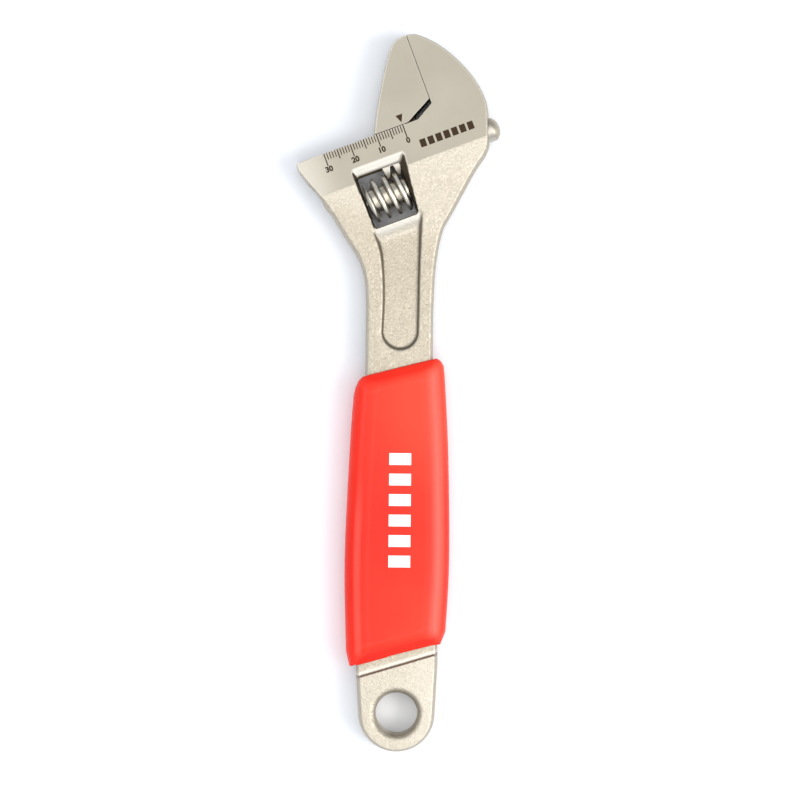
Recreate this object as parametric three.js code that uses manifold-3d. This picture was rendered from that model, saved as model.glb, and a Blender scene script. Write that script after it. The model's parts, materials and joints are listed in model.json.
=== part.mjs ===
// Adjustable wrench, 257 mm long: a one-piece forged body with the fixed jaw, a movable jaw on a
// round rail, the worm that drives its rack, the worm's pin and spring, and the grip sleeve.
// Millimetres, +Z up. The wrench lies flat with its handle along +Y and its jaws at the far end.
// Two plans are used. The handle plan has its origin at the centre of the hang hole. The head plan
// has its origin at the scale's zero on the slide edge, with +X along the edge, +Y along the jaws.

import * as THREE from 'three';
import { ConvexGeometry } from 'three/addons/geometries/ConvexGeometry.js';
import { mergeVertices } from 'three/addons/utils/BufferGeometryUtils.js';
import Module from 'manifold-3d';

const wasm = await Module();
wasm.setup();

// Driving dimensions
const HEAD_TURN = THREE.MathUtils.degToRad( 20.76 ); // the jaws lean this far off the handle
const HEAD_AT = new THREE.Vector2( 0.31, 210.5 ); // the head plan's origin in the handle plan
const HEAD_HALF = 6.5; // half the thickness across the ground faces
const SHANK_HALF = 4.4;
const EYE_HALF = 5.6;
const PANEL_HALF = 2.8; // half the web left in the recessed panel
const GRIP_HALF = 7.8;
const GAP = 0.3; // clearance between pieces that touch on the real tool
const JAW_TRAVEL = 30;

const JAW_FACE = 12; // the fixed jaw's face in the head plan
const JAW_GAP = 0.4; // left between the jaws when they are closed
const JAW_TIP = 29.4;
const JAW_HEEL = - 11.1;
const GROUND_LINE = - 14.1; // the ground face ends here, and the forged skin falls away
const SLOPE_END = - 48; // the forged skin is down at the shank's level here
const RAIL_AXIS = - 12.15;
const RAIL_RADIUS = 4.25;
const RAIL_LEFT = - 12.5;
const RAIL_RIGHT = 32.3;
const NECK_HALF = 2.6; // half the thickness of the web between jaw and rail
const NECK_RIGHT = 5.2;

const PITCH = 4.1; // of the worm's single thread and of the rack
const WORM_AXIS = - 21.7;
const WORM_LEFT = - 21.4;
const WORM_RIGHT = - 6.2;
const WORM_RADIUS = 7.7;
const WORM_CORE = 4.4;
const THREAD_CREST = 1.2; // the thread's width at its crest
const THREAD_FLANK = 0.12; // sideways run of a thread's flank for each millimetre of depth
const RACK_FLANK = 0.2286;
const RACK_TIP = 1.2; // a rack tooth's width at its tip
const RACK_DEPTH = 3.5;
const RACK_FIRST = - 13.5; // centre of the groove that ends the rack on the left
const RACK_END = 25.8; // no groove is centred right of this
const RACK_LEAD = PITCH / ( 2 * Math.PI * 6.3 ); // lean of the teeth, from the thread's lead

const PIN_RADIUS = 1.5;
const PIN_LEFT = - 34.6;
const PIN_RIGHT = - 1.4;
const SPRING_WIRE = 0.4; // wire radius
const SPRING_RADIUS = 2.55;
const SPRING_POCKET = 3.3; // radius of the pocket for the spring in the worm's left end
const SPRING_LENGTH = 4.4;
const SPRING_TURNS = 4;

const WINDOW = { left: - 22, right: - 5.85, top: - 12.2, bottom: - 31.4 };
const EYE_RADIUS = 13.7;
const HANG_HOLE = 7.5;
const HANG_RIM = 2; // width and depth of the hole's opened edge
const LONG = 60; // reach of a cutter past whatever it cuts

const headMatrix = new THREE.Matrix4().makeRotationZ( HEAD_TURN );
headMatrix.setPosition( HEAD_AT.x, HEAD_AT.y, 0 );

const steel = { color: 0xe4dac6, roughness: 0.45, metalness: 0.9 };
const finishes = {
	body: steel,
	movable_jaw: { color: 0xd2c8b4, roughness: 0.35, metalness: 0.95 },
	worm: { color: 0xe9e2d4, roughness: 0.2, metalness: 1 },
	worm_pin: { color: 0x9a958c, roughness: 0.35, metalness: 1 },
	worm_spring: { color: 0xb8b4ab, roughness: 0.3, metalness: 1 },
	grip_sleeve: { color: 0xf23a2c, roughness: 0.5, metalness: 0 }
};

// A three.js geometry as a manifold solid.
function solid( geometry ) {

	const bare = geometry.clone();
	bare.deleteAttribute( 'normal' );
	bare.deleteAttribute( 'uv' );
	const merged = mergeVertices( bare, 1e-4 );
	return new wasm.Manifold( new wasm.Mesh( {
		numProp: 3,
		vertProperties: new Float32Array( merged.attributes.position.array ),
		triVerts: new Uint32Array( merged.index.array )
	} ) );

}

// A manifold solid as a named three.js mesh.
function piece( name, manifold ) {

	const { vertProperties, triVerts } = manifold.getMesh();
	const geometry = new THREE.BufferGeometry();
	geometry.setAttribute( 'position', new THREE.BufferAttribute( vertProperties, 3 ) );
	geometry.setIndex( new THREE.BufferAttribute( triVerts, 1 ) );
	const mesh = new THREE.Mesh( geometry, new THREE.MeshStandardMaterial( finishes[ name ] ) );
	mesh.name = name;
	return mesh;

}

// A plan outline made solid from z = low to z = high, its edges bevelled inside the outline.
function slab( shape, low, high, bevel = 0, curveSegments = 6 ) {

	const geometry = new THREE.ExtrudeGeometry( shape, {
		depth: high - low - 2 * bevel,
		bevelEnabled: bevel > 0,
		bevelSize: bevel,
		bevelThickness: bevel,
		bevelOffset: - bevel,
		bevelSegments: 1,
		curveSegments
	} );
	return solid( geometry.translate( 0, 0, low + bevel ) );

}

// A round bar along X.
function bar( radius, left, right, sides = 32 ) {

	const geometry = new THREE.CylinderGeometry( radius, radius, right - left, sides );
	return solid( geometry.rotateZ( - Math.PI / 2 ).translate( ( left + right ) / 2, 0, 0 ) );

}

function box( left, right, bottom, top, low, high ) {

	const geometry = new THREE.BoxGeometry( right - left, top - bottom, high - low );
	return solid( geometry.translate( ( left + right ) / 2, ( bottom + top ) / 2, ( low + high ) / 2 ) );

}

function hull( points ) {

	return solid( new ConvexGeometry( points.map( ( p ) => new THREE.Vector3( ...p ) ) ) );

}

// A point of the head plan, seen in the handle plan.
function fromHead( x, y ) {

	return new THREE.Vector2( x, y ).rotateAround( new THREE.Vector2(), HEAD_TURN ).add( HEAD_AT );

}

// A cutter of the head plan, turned and moved into the handle plan.
function atHead( manifold ) {

	return manifold.transform( headMatrix.elements );

}

// The same cutter on both faces of the body.
function bothFaces( manifold ) {

	return manifold.add( manifold.mirror( [ 0, 0, 1 ] ) );

}

// The head with the fixed jaw and the neck, down to where the shank takes over.
function headShape() {

	const shape = new THREE.Shape();
	const go = ( x, y ) => shape.lineTo( ...fromHead( x, y ).toArray() );
	const start = fromHead( - 39.4, 0 );
	shape.moveTo( start.x, start.y );
	shape.quadraticCurveTo( ...fromHead( - 41.3, 0 ).toArray(), ...fromHead( - 41.2, - 2 ).toArray() );
	shape.splineThru( [
		fromHead( - 40.5, - 5.1 ),
		fromHead( - 37.9, - 13.3 ),
		fromHead( - 35.3, - 22 ),
		fromHead( - 33.3, - 31.2 ),
		new THREE.Vector2( - 15.1, 162 ),
		new THREE.Vector2( - 12.9, 155 ),
		new THREE.Vector2( - 12.3, 146 )
	] );
	shape.lineTo( - 12.35, 138 );
	shape.lineTo( 11.85, 138 );
	shape.splineThru( [
		new THREE.Vector2( 11.9, 146 ),
		new THREE.Vector2( 12.6, 160 ),
		new THREE.Vector2( 14.8, 172.2 ),
		fromHead( 5.6, - 35.8 ),
		fromHead( 17.9, - 25.1 ),
		fromHead( 26.2, - 18.2 ),
		fromHead( 30, - 7.7 ),
		fromHead( 31.1, - 1 )
	] );
	shape.splineThru( [
		fromHead( 30, 6.7 ),
		fromHead( 27.1, 14.3 ),
		fromHead( 22.5, 22.2 ),
		fromHead( 16.8, 28.2 ),
		fromHead( 13.8, 29.6 )
	] );
	go( JAW_FACE, JAW_TIP );
	go( JAW_FACE, 3.6 );
	go( 5.7, 0 );
	return shape;

}

// The shank from inside the eye to inside the neck, with everything moved out by grow.
function shankShape( grow = 0 ) {

	const shape = new THREE.Shape();
	shape.moveTo( - 14.2 - grow, 4 );
	shape.lineTo( 14.2 + grow, 4 );
	shape.lineTo( 14.6 + grow, 18 );
	shape.lineTo( 11.85 + grow, 128 );
	shape.lineTo( 11.85 + grow, 144 );
	shape.lineTo( - 12.3 - grow, 144 );
	shape.lineTo( - 12.3 - grow, 128 );
	shape.lineTo( - 14.9 - grow, 18 );
	return shape;

}

// The thicker eye, which stops at a slanted step below the grip.
function eyeShape() {

	const shape = new THREE.Shape();
	shape.moveTo( 14.5, 20.6 );
	shape.lineTo( 12.6, 21 );
	shape.lineTo( - 11.8, 13.6 );
	shape.lineTo( - 14.7, 12.6 );
	shape.lineTo( - EYE_RADIUS, - 0.4 );
	shape.absarc( 0, - 0.4, EYE_RADIUS, Math.PI, 2 * Math.PI );
	return shape;

}

// The long recess in the neck and shank, from the window down to its round end.
function panelShape() {

	const end = 6.25;
	const shape = new THREE.Shape();
	shape.moveTo( - end, 136 );
	shape.absarc( 0.1, 136, end, Math.PI, 2 * Math.PI );
	shape.splineThru( [
		new THREE.Vector2( 6.5, 155 ),
		new THREE.Vector2( 6.9, 178 )
	] );
	shape.lineTo( ...fromHead( WINDOW.right, WINDOW.bottom + 1 ).toArray() );
	shape.lineTo( ...fromHead( WINDOW.left, WINDOW.bottom + 1 ).toArray() );
	shape.splineThru( [
		new THREE.Vector2( - 9.3, 172 ),
		new THREE.Vector2( - 7, 164 ),
		new THREE.Vector2( - 6, 150 ),
		new THREE.Vector2( - end, 136 )
	] );
	return shape;

}

// The forged skin falls from the ground face to the shank's level, below a line across the head.
function headSlope() {

	const low = SHANK_HALF + 0.05; // just clear of the shank's own face
	const profile = new THREE.Shape( [
		new THREE.Vector2( GROUND_LINE, HEAD_HALF ),
		new THREE.Vector2( SLOPE_END, low ),
		new THREE.Vector2( SLOPE_END - LONG, low ),
		new THREE.Vector2( SLOPE_END - LONG, HEAD_HALF + LONG ),
		new THREE.Vector2( GROUND_LINE, HEAD_HALF + LONG )
	] );
	const across = solid( new THREE.ExtrudeGeometry( profile, { depth: 2 * LONG, bevelEnabled: false } ) );
	// The profile's X and Y are the head plan's Y and Z, and it runs along the head plan's X.
	const turn = new THREE.Matrix4().makeBasis(
		new THREE.Vector3( 0, 1, 0 ), new THREE.Vector3( 0, 0, 1 ), new THREE.Vector3( 1, 0, 0 ) );
	return bothFaces( across.transform( turn.elements ).translate( [ - LONG, 0, 0 ] ) );

}

// The round channel for the rail and the slot above it for the movable jaw's neck.
function railChannel() {

	const round = bar( RAIL_RADIUS + GAP, - LONG, LONG, 40 ).translate( [ 0, RAIL_AXIS, 0 ] );
	const half = NECK_HALF + GAP;
	return round.add( box( - LONG, NECK_RIGHT + GAP, RAIL_AXIS, 1, - half, half ) );

}

// The window that the worm sits in, with its edges opened out towards both faces.
function wormWindow() {

	const { left, right, top, bottom } = WINDOW;
	const through = box( left, right, bottom, top - 0.2, - LONG, LONG );
	const mouth = HEAD_HALF + 0.1;
	const start = RAIL_RADIUS + 0.4;
	const opened = { left: 1.1, right: 2.5, lowRight: 1.1, top: 3, bottom: 0.2 };
	const flare = hull( [
		[ left - opened.left, top + opened.top, mouth ], [ right + opened.right, top + opened.top, mouth ],
		[ left, bottom - opened.bottom, mouth ], [ right + opened.lowRight, bottom - opened.bottom, mouth ],
		[ left, top, start ], [ right, top, start ],
		[ left, bottom, start ], [ right, bottom, start ]
	] );
	return through.add( bothFaces( flare ) );

}

// The slope from the window's lower edge down to the panel's floor.
function panelSlope() {

	const { left, right, bottom } = WINDOW;
	const above = HEAD_HALF + 0.1;
	const from = { y: bottom + 0.5, z: PANEL_HALF + 2.6 };
	const to = { y: bottom - 4, z: PANEL_HALF + 0.2, inset: 1 };
	return bothFaces( hull( [
		[ left, from.y, from.z ], [ right, from.y, from.z ],
		[ left, from.y, above ], [ right, from.y, above ],
		[ left + to.inset, to.y, to.z ], [ right - to.inset, to.y, to.z ],
		[ left + to.inset, to.y, above ], [ right - to.inset, to.y, above ]
	] ) );

}

function body() {

	const forging = slab( headShape(), - HEAD_HALF, HEAD_HALF )
		.subtract( atHead( headSlope() ) )
		.add( slab( shankShape(), - SHANK_HALF, SHANK_HALF, 1 ) )
		.add( slab( eyeShape(), - EYE_HALF, EYE_HALF, 1.1, 20 ) );
	const hangHole = new THREE.CylinderGeometry( HANG_HOLE, HANG_HOLE, 2 * LONG, 40 );
	const rim = new THREE.CylinderGeometry( HANG_HOLE + HANG_RIM, HANG_HOLE, HANG_RIM, 40 );
	const panelTop = WINDOW.bottom - 3.6; // from here up the panel's floor is the slope
	const panel = slab( panelShape(), PANEL_HALF, HEAD_HALF + 1 ).subtract(
		atHead( box( - LONG, LONG, panelTop, 0, 0, LONG ) ) );
	const pinHole = bar( PIN_RADIUS + GAP, - LONG, PIN_RIGHT + GAP, 24 ).translate( [ 0, WORM_AXIS, 0 ] );
	return forging
		.subtract( solid( hangHole.rotateX( Math.PI / 2 ) ) )
		.subtract( bothFaces( solid( rim.rotateX( Math.PI / 2 ).translate( 0, 0, EYE_HALF ) ) ) )
		.subtract( bothFaces( panel ) )
		.subtract( atHead( panelSlope() ) )
		.subtract( atHead( railChannel() ) )
		.subtract( atHead( wormWindow() ) )
		.subtract( atHead( pinHole ) );

}

// One groove of the rack, open downwards, leaning across the rail with the thread's lead.
function rackGroove( centre ) {

	const tip = RAIL_AXIS - RAIL_RADIUS;
	const root = tip + RACK_DEPTH;
	const below = tip - 1;
	const half = ( y ) => ( PITCH - RACK_TIP ) / 2 - ( y - tip ) * RACK_FLANK;
	const profile = new THREE.Shape( [
		new THREE.Vector2( - half( below ), below ),
		new THREE.Vector2( half( below ), below ),
		new THREE.Vector2( half( root ), root ),
		new THREE.Vector2( - half( root ), root )
	] );
	const reach = RAIL_RADIUS + 2;
	const groove = new THREE.ExtrudeGeometry( profile, { depth: 2 * reach, bevelEnabled: false } );
	groove.translate( 0, 0, - reach );
	groove.applyMatrix4( new THREE.Matrix4().makeShear( 0, 0, 0, 0, RACK_LEAD, 0 ) );
	return solid( groove.translate( centre, 0, 0 ) );

}

// The round rail with its domed right end and its rack underneath.
function rail() {

	const dome = 3;
	const domeSteps = 4;
	const profile = [ new THREE.Vector2( 0, RAIL_LEFT ), new THREE.Vector2( RAIL_RADIUS, RAIL_LEFT ) ];
	for ( let i = 0; i <= domeSteps; i ++ ) {

		const angle = i / domeSteps * Math.PI / 2;
		profile.push( new THREE.Vector2(
			RAIL_RADIUS * Math.cos( angle ), RAIL_RIGHT - dome + dome * Math.sin( angle ) ) );

	}

	let result = solid( new THREE.LatheGeometry( profile, 32 ).rotateZ( - Math.PI / 2 ) );
	result = result.translate( [ 0, RAIL_AXIS, 0 ] );
	for ( let x = RACK_FIRST; x < RACK_END; x += PITCH ) {

		result = result.subtract( rackGroove( x ) );

	}

	return result;

}

// The movable jaw's plan outline, from the heel on the slide edge round its tip to its face.
function jawShape() {

	const face = JAW_FACE - JAW_GAP;
	const shape = new THREE.Shape();
	shape.moveTo( JAW_HEEL, GAP );
	shape.lineTo( 1.8, GAP );
	shape.lineTo( face, 5.5 );
	shape.lineTo( face, JAW_TIP - 0.1 );
	shape.splineThru( [
		new THREE.Vector2( 8.2, 29.6 ),
		new THREE.Vector2( 5.1, 27.4 ),
		new THREE.Vector2( 1.5, 22.5 ),
		new THREE.Vector2( - 3.6, 14.3 ),
		new THREE.Vector2( - 7.7, 7.2 ),
		new THREE.Vector2( JAW_HEEL, GAP )
	] );
	return shape;

}

function movableJaw() {

	return slab( jawShape(), - HEAD_HALF, HEAD_HALF )
		.add( box( JAW_HEEL, NECK_RIGHT, RAIL_AXIS, 2, - NECK_HALF, NECK_HALF ) )
		.add( rail() );

}

// The thread's ridge: a straight bar of the thread's section, wrapped round the axis as a helix.
function threadRidge( phase ) {

	const turns = 6;
	const stepsPerTurn = 24;
	const foot = WORM_CORE - 0.5;
	const half = ( radius ) => THREAD_CREST / 2 + ( WORM_RADIUS - radius ) * THREAD_FLANK;
	const section = new THREE.Shape( [
		new THREE.Vector2( - half( foot ), foot ),
		new THREE.Vector2( half( foot ), foot ),
		new THREE.Vector2( half( WORM_RADIUS ), WORM_RADIUS ),
		new THREE.Vector2( - half( WORM_RADIUS ), WORM_RADIUS )
	] );
	const ridge = new THREE.ExtrudeGeometry( section, {
		depth: turns * 2 * Math.PI, steps: turns * stepsPerTurn, bevelEnabled: false } );
	const position = ridge.attributes.position;
	for ( let i = 0; i < position.count; i ++ ) {

		const angle = position.getZ( i ) - turns * Math.PI;
		const radius = position.getY( i );
		position.setXYZ( i, position.getX( i ) + phase + PITCH * angle / ( 2 * Math.PI ),
			radius * Math.cos( angle ), radius * Math.sin( angle ) );

	}

	return solid( ridge );

}

// The worm, with the thread that sits at rest in the rack's grooves.
function worm() {

	const ease = 1;
	const outside = WORM_RADIUS + 0.1; // clear of the crests, so that they stay whole
	const blankProfile = [
		new THREE.Vector2( 0, WORM_LEFT ),
		new THREE.Vector2( WORM_RADIUS - ease, WORM_LEFT ),
		new THREE.Vector2( outside, WORM_LEFT + ease ),
		new THREE.Vector2( outside, WORM_RIGHT - ease ),
		new THREE.Vector2( WORM_RADIUS - ease, WORM_RIGHT ),
		new THREE.Vector2( 0, WORM_RIGHT )
	];
	const blank = solid( new THREE.LatheGeometry( blankProfile, 36 ).rotateZ( - Math.PI / 2 ) );
	return threadRidge( RACK_FIRST )
		.add( bar( WORM_CORE, WORM_LEFT - 1, WORM_RIGHT + 1 ) )
		.intersect( blank )
		.subtract( bar( PIN_RADIUS + GAP, WORM_LEFT - 1, WORM_RIGHT + 1, 24 ) )
		.subtract( bar( SPRING_POCKET, WORM_LEFT - 1, WORM_LEFT + SPRING_LENGTH + GAP, 24 ) );

}

// The worm's pin, with the screwdriver slot that shows in the head's left end.
function wormPin() {

	const slotDepth = 0.9;
	const slotHalf = 0.35;
	const across = 2 * PIN_RADIUS;
	const slot = box( PIN_LEFT - 1, PIN_LEFT + slotDepth, - across, across, - slotHalf, slotHalf );
	return bar( PIN_RADIUS, PIN_LEFT, PIN_RIGHT, 24 ).subtract( slot );

}

class Coil extends THREE.Curve {

	constructor( radius, turns, length ) {

		super();
		Object.assign( this, { radius, turns, length } );

	}

	getPoint( t, target = new THREE.Vector3() ) {

		const angle = t * this.turns * 2 * Math.PI;
		return target.set( t * this.length, this.radius * Math.cos( angle ), this.radius * Math.sin( angle ) );

	}

}

// The small compression spring round the pin that takes up the worm's end play.
function wormSpring() {

	const stepsPerTurn = 14;
	const start = WORM_LEFT - GAP + SPRING_WIRE;
	const coil = new Coil( SPRING_RADIUS, SPRING_TURNS, SPRING_LENGTH - 2 * SPRING_WIRE );
	const wire = new THREE.Shape();
	wire.absarc( 0, 0, SPRING_WIRE, 0, 2 * Math.PI );
	const geometry = new THREE.ExtrudeGeometry( wire, {
		extrudePath: coil, steps: SPRING_TURNS * stepsPerTurn, curveSegments: 3, bevelEnabled: false } );
	return solid( geometry.translate( start, 0, 0 ) );

}

// The sleeve's plan outline: barrel sides, a slanted end at each side of the grip, eased corners.
function gripShape() {

	const shape = new THREE.Shape();
	shape.moveTo( - 17, 16.8 );
	shape.lineTo( - 13.7, 17 );
	shape.lineTo( 10.9, 23.8 );
	shape.lineTo( 15.2, 24.4 );
	shape.lineTo( 17.3, 29.4 );
	shape.splineThru( [
		new THREE.Vector2( 18.4, 55 ),
		new THREE.Vector2( 17.7, 93.3 ),
		new THREE.Vector2( 16.1, 121.6 )
	] );
	shape.quadraticCurveTo( 15.4, 128, 11.4, 127.1 );
	shape.lineTo( - 11.2, 121.5 );
	shape.quadraticCurveTo( - 15.6, 119.6, - 16.4, 113.8 );
	shape.splineThru( [
		new THREE.Vector2( - 17.6, 95.3 ),
		new THREE.Vector2( - 19.1, 55 ),
		new THREE.Vector2( - 18.3, 22 )
	] );
	return shape;

}

function gripSleeve() {

	const bevel = 2.8;
	const inside = SHANK_HALF + GAP;
	return slab( gripShape(), - GRIP_HALF, GRIP_HALF, bevel )
		.subtract( slab( shankShape( GAP ), - inside, inside ) );

}

// Assembly: the head group holds what is laid out in the head plan.
const wrench = new THREE.Group();
wrench.add( piece( 'body', body() ), piece( 'grip_sleeve', gripSleeve() ) );

const head = new THREE.Group();
head.position.set( HEAD_AT.x, HEAD_AT.y, 0 );
head.rotation.z = HEAD_TURN;
head.add( piece( 'movable_jaw', movableJaw() ) );

const wormLine = new THREE.Group();
wormLine.position.y = WORM_AXIS;
wormLine.add( piece( 'worm', worm() ), piece( 'worm_pin', wormPin() ), piece( 'worm_spring', wormSpring() ) );
head.add( wormLine );
wrench.add( head );

// The whole is set down with its lowest point at Z = 0, centred over the origin.
const bounds = new THREE.Box3().setFromObject( wrench, true );
const centre = bounds.getCenter( new THREE.Vector3() );
wrench.position.set( - centre.x, - centre.y, - bounds.min.z );

export default new THREE.Group().add( wrench );
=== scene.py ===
"""Adjustable wrench: fine meshes, finishes, floor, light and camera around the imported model.

Each shape is a signed distance field in millimetres, negative inside, and its surface is meshed on a
grid that follows the piece. Fields use the wrench's own plans, as the model does: the handle plan has
its origin at the hang hole's centre with Y towards the jaws, the head plan has its origin at the
scale's zero with X along the slide edge, and z is the height above the wrench's middle plane.
"""

import json
import math

import bpy
import numpy as np
from mathutils import Matrix, Vector


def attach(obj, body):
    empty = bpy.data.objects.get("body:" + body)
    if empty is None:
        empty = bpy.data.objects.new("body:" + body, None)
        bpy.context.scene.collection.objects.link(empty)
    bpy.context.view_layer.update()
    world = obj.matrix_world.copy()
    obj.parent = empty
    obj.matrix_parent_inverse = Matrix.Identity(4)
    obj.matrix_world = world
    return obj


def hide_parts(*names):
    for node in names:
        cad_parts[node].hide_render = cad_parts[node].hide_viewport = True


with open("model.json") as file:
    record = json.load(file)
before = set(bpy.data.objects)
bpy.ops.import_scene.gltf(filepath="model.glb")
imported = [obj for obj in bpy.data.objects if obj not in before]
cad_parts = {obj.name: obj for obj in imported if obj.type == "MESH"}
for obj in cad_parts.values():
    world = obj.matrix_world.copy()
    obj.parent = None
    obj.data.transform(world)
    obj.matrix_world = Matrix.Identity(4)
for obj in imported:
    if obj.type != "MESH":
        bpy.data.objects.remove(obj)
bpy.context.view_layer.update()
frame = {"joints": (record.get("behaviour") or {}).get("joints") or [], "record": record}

MM = 0.001
joints = {j["name"]: j for j in frame["joints"]}
slide_axis = Vector(joints["jaw_slide"]["axis"])
worm_point = Vector(joints["worm_spin"]["pos_m"]) / MM
hole_low, hole_high = frame["record"]["physics"]["openings"][0]["box_m"]

# Where the two plans lie in the row frame.
WORM_AXIS = -21.7  # head plan Y of the worm's axis
HEAD_X = -slide_axis  # the jaw opens towards the head plan's left
HEAD_Y = Vector((-HEAD_X.y, HEAD_X.x, 0))
HANDLE_AT = Vector(((hole_low[0] + hole_high[0]) / 2, (hole_low[1] + hole_high[1]) / 2, 0)) / MM
HANDLE_AT.z = worm_point.z
HEAD_ROW = worm_point - WORM_AXIS * HEAD_Y
HEAD_AT = (HEAD_ROW.x - HANDLE_AT.x, HEAD_ROW.y - HANDLE_AT.y)
COS, SIN = HEAD_X.x, HEAD_X.y
TURN = math.atan2(SIN, COS)

# Half thicknesses of the head, the shank, the eye, the web between the panels, and the grip.
HEAD_HALF, SHANK_HALF, EYE_HALF, PANEL_HALF, GRIP_HALF = 6.5, 4.4, 5.6, 2.8, 7.77

# Clearance round moving pieces, the slit between the closed jaws, and the one under the movable jaw.
GAP, CLOSE, SEATED = 0.3, 0.06, 0.02

# Head: the fixed jaw's face, the lower limit of the ground faces, and the throat's slanted floor.
JAW_FACE, GROUND_LINE = 12.0, -14.1
THROAT_START, THROAT_SLOPE = 5.7, 0.5625
TIP_AIM, TIP_REACH = (-0.62, 0.785), 25.0  # the flat that blunts the head's left tip

# Forged skin below the ground faces: a small step, then a steady fall towards the shank's level.
SKIN_STEP, SKIN_FALL, SKIN_RUN = 0.1, 0.058, 34.0

# Forging draft, as sideways run for each millimetre of height: at the slide edge, and DRAFT_RUN below.
DRAFT_JAW, DRAFT_SHANK, DRAFT_RUN = 0.07, 0.17, 16.0

# Recessed panels: the draft of their walls, the radius and height of their round foot, and the rise
# of their floor, which ends at SILL_START below the window and begins at SILL_END below it.
PANEL_DRAFT, PANEL_END, PANEL_FOOT = 0.5, 6.75, 136.7
SILL_RISE, SILL_START, SILL_END = 2.6, -0.8, 5.4

# Eye, its hang hole, and the slanted step between eye and shank.
EYE_RADIUS, EYE_CENTRE, HANG_HOLE, HOLE_RIM = 13.7, -0.4, 7.5, 2.4
STEP_AT, STEP_LEAN = 17.1, 0.303

# Movable jaw: draft, bevelled heel, round rail with its domed end, and the neck between them.
JAW_DRAFT, HEEL_START, HEEL_SLOPE = 0.06, 1.8, 0.53
RAIL_AXIS, RAIL_RADIUS, RAIL_LEFT, RAIL_RIGHT, RAIL_DOME = -12.15, 4.25, -12.5, 32.3, 3.0
NECK_HALF, NECK_LEFT, NECK_RIGHT, NECK_TOP = 2.6, -10.3, 5.2, 2.0

# Worm thread and the rack that it drives.
PITCH, MESH_RADIUS = 4.1, 6.3
RACK_FIRST, RACK_END, RACK_TIP, RACK_DEPTH, RACK_FLANK = -13.5, 25.8, 1.2, 4.1, 0.2286
RACK_LEAD = PITCH / (2 * math.pi * MESH_RADIUS)
WORM_LEFT, WORM_RIGHT, WORM_RADIUS, WORM_CORE, WORM_CHAMFER = -21.4, -6.2, 7.7, 4.4, 1.1
THREAD_CREST, THREAD_FLANK = 1.2, 0.12
POCKET_RADIUS, POCKET_DEPTH = 3.3, 4.7

# Pin, with the slot in its left end, and the spring wound round it.
PIN_RADIUS, PIN_LEFT, PIN_RIGHT = 1.5, -34.6, -1.4
SLOT_HALF, SLOT_DEPTH = 0.35, 0.9
SPRING_TURNS, SPRING_WIRE, SPRING_RADIUS, SPRING_LENGTH = 4, 0.4, 2.55, 4.4

# Worm window. Its walls open out over FLARE_HEIGHT, by the width given for each side.
WINDOW_LEFT, WINDOW_RIGHT, WINDOW_TOP, WINDOW_BOTTOM = -22.0, -5.85, -12.2, -31.4
FLARE_START, FLARE_HEIGHT = RAIL_RADIUS + 0.4, 1.85
FLARE_LEFT, FLARE_RIGHT, FLARE_TOP, FLARE_BOTTOM = 1.1, 2.5, 3.0, 0.2
FLARE_TAPER = 0.073  # the right side opens less, by this for each millimetre down

# Grip: its slanted ends, the steep flank and the shoulder of its sides (rise for each millimetre
# inwards, and height at the rim), the slopes at its ends, and the bore that widens down from BORE_AT.
GRIP_TOP, TOP_LEAN, GRIP_BOTTOM, BOTTOM_LEAN = 124.3, 0.248, 20.8, 0.276
FLANK_RISE, FLANK_FOOT, SHOULDER_RISE, SHOULDER_FOOT = 1.04, 3.87, 0.3, 6.09
END_RUN, END_FALL = 4.9, 0.5
BORE_AXIS, BORE_HALF, BORE_AT, BORE_TAPER = -0.2, 12.5, 128.0, 0.0262


# ---------------------------------------------------------------- plans and outlines

def to_head(x, y):
    """From the handle plan to the head plan."""
    dx, dy = x - HEAD_AT[0], y - HEAD_AT[1]
    return dx * COS + dy * SIN, dy * COS - dx * SIN


def from_head(x, y):
    """From the head plan to the handle plan."""
    return HEAD_AT[0] + x * COS - y * SIN, HEAD_AT[1] + x * SIN + y * COS


def above_step(x, y):
    """Height above the slanted step between eye and shank, along Y."""
    return y - STEP_AT - STEP_LEAN * x


def inside_grip(x, y):
    """Distances along Y from the grip's lower and upper ends, positive between them."""
    return y - GRIP_BOTTOM - BOTTOM_LEAN * x, GRIP_TOP + TOP_LEAN * x - y


def spline(points, steps=8):
    """A Catmull-Rom curve through the points, without its first point."""
    p = np.array(points, float)
    padded = np.vstack([p[:1], p, p[-1:]])
    t = (np.arange(1, steps + 1) / steps)[:, None]
    out = []
    for i in range(len(p) - 1):
        a, b, c, d = padded[i : i + 4]
        v0, v1 = (c - a) / 2, (d - b) / 2
        out.append((2 * b - 2 * c + v0 + v1) * t**3 + (3 * c - 3 * b - 2 * v0 - v1) * t**2 + v0 * t + b)
    return [tuple(q) for q in np.vstack(out)]


def arc(cx, cy, radius, start, end, steps):
    """Points along a circle, with the angles in degrees."""
    angles = np.radians(np.linspace(start, end, steps + 1))
    return [(cx + radius * math.cos(a), cy + radius * math.sin(a)) for a in angles]


def outline_distance(x, y, outline):
    """Signed distance to a closed polygon."""
    best = np.full(x.shape, np.inf)
    inside = np.zeros(x.shape, bool)
    for (ax, ay), (bx, by) in zip(outline, outline[1:] + outline[:1]):
        ex, ey = bx - ax, by - ay
        length = ex * ex + ey * ey
        if length < 1e-12:  # two points in one place
            continue
        wx, wy = x - ax, y - ay
        t = np.clip((wx * ex + wy * ey) / length, 0, 1)
        best = np.minimum(best, (wx - ex * t) ** 2 + (wy - ey * t) ** 2)
        if ay != by:
            crosses = (ay > y) != (by > y)
            inside ^= crosses & (x < ax + (y - ay) * ex / ey)
    return np.where(inside, -1, 1) * np.sqrt(best)


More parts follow.
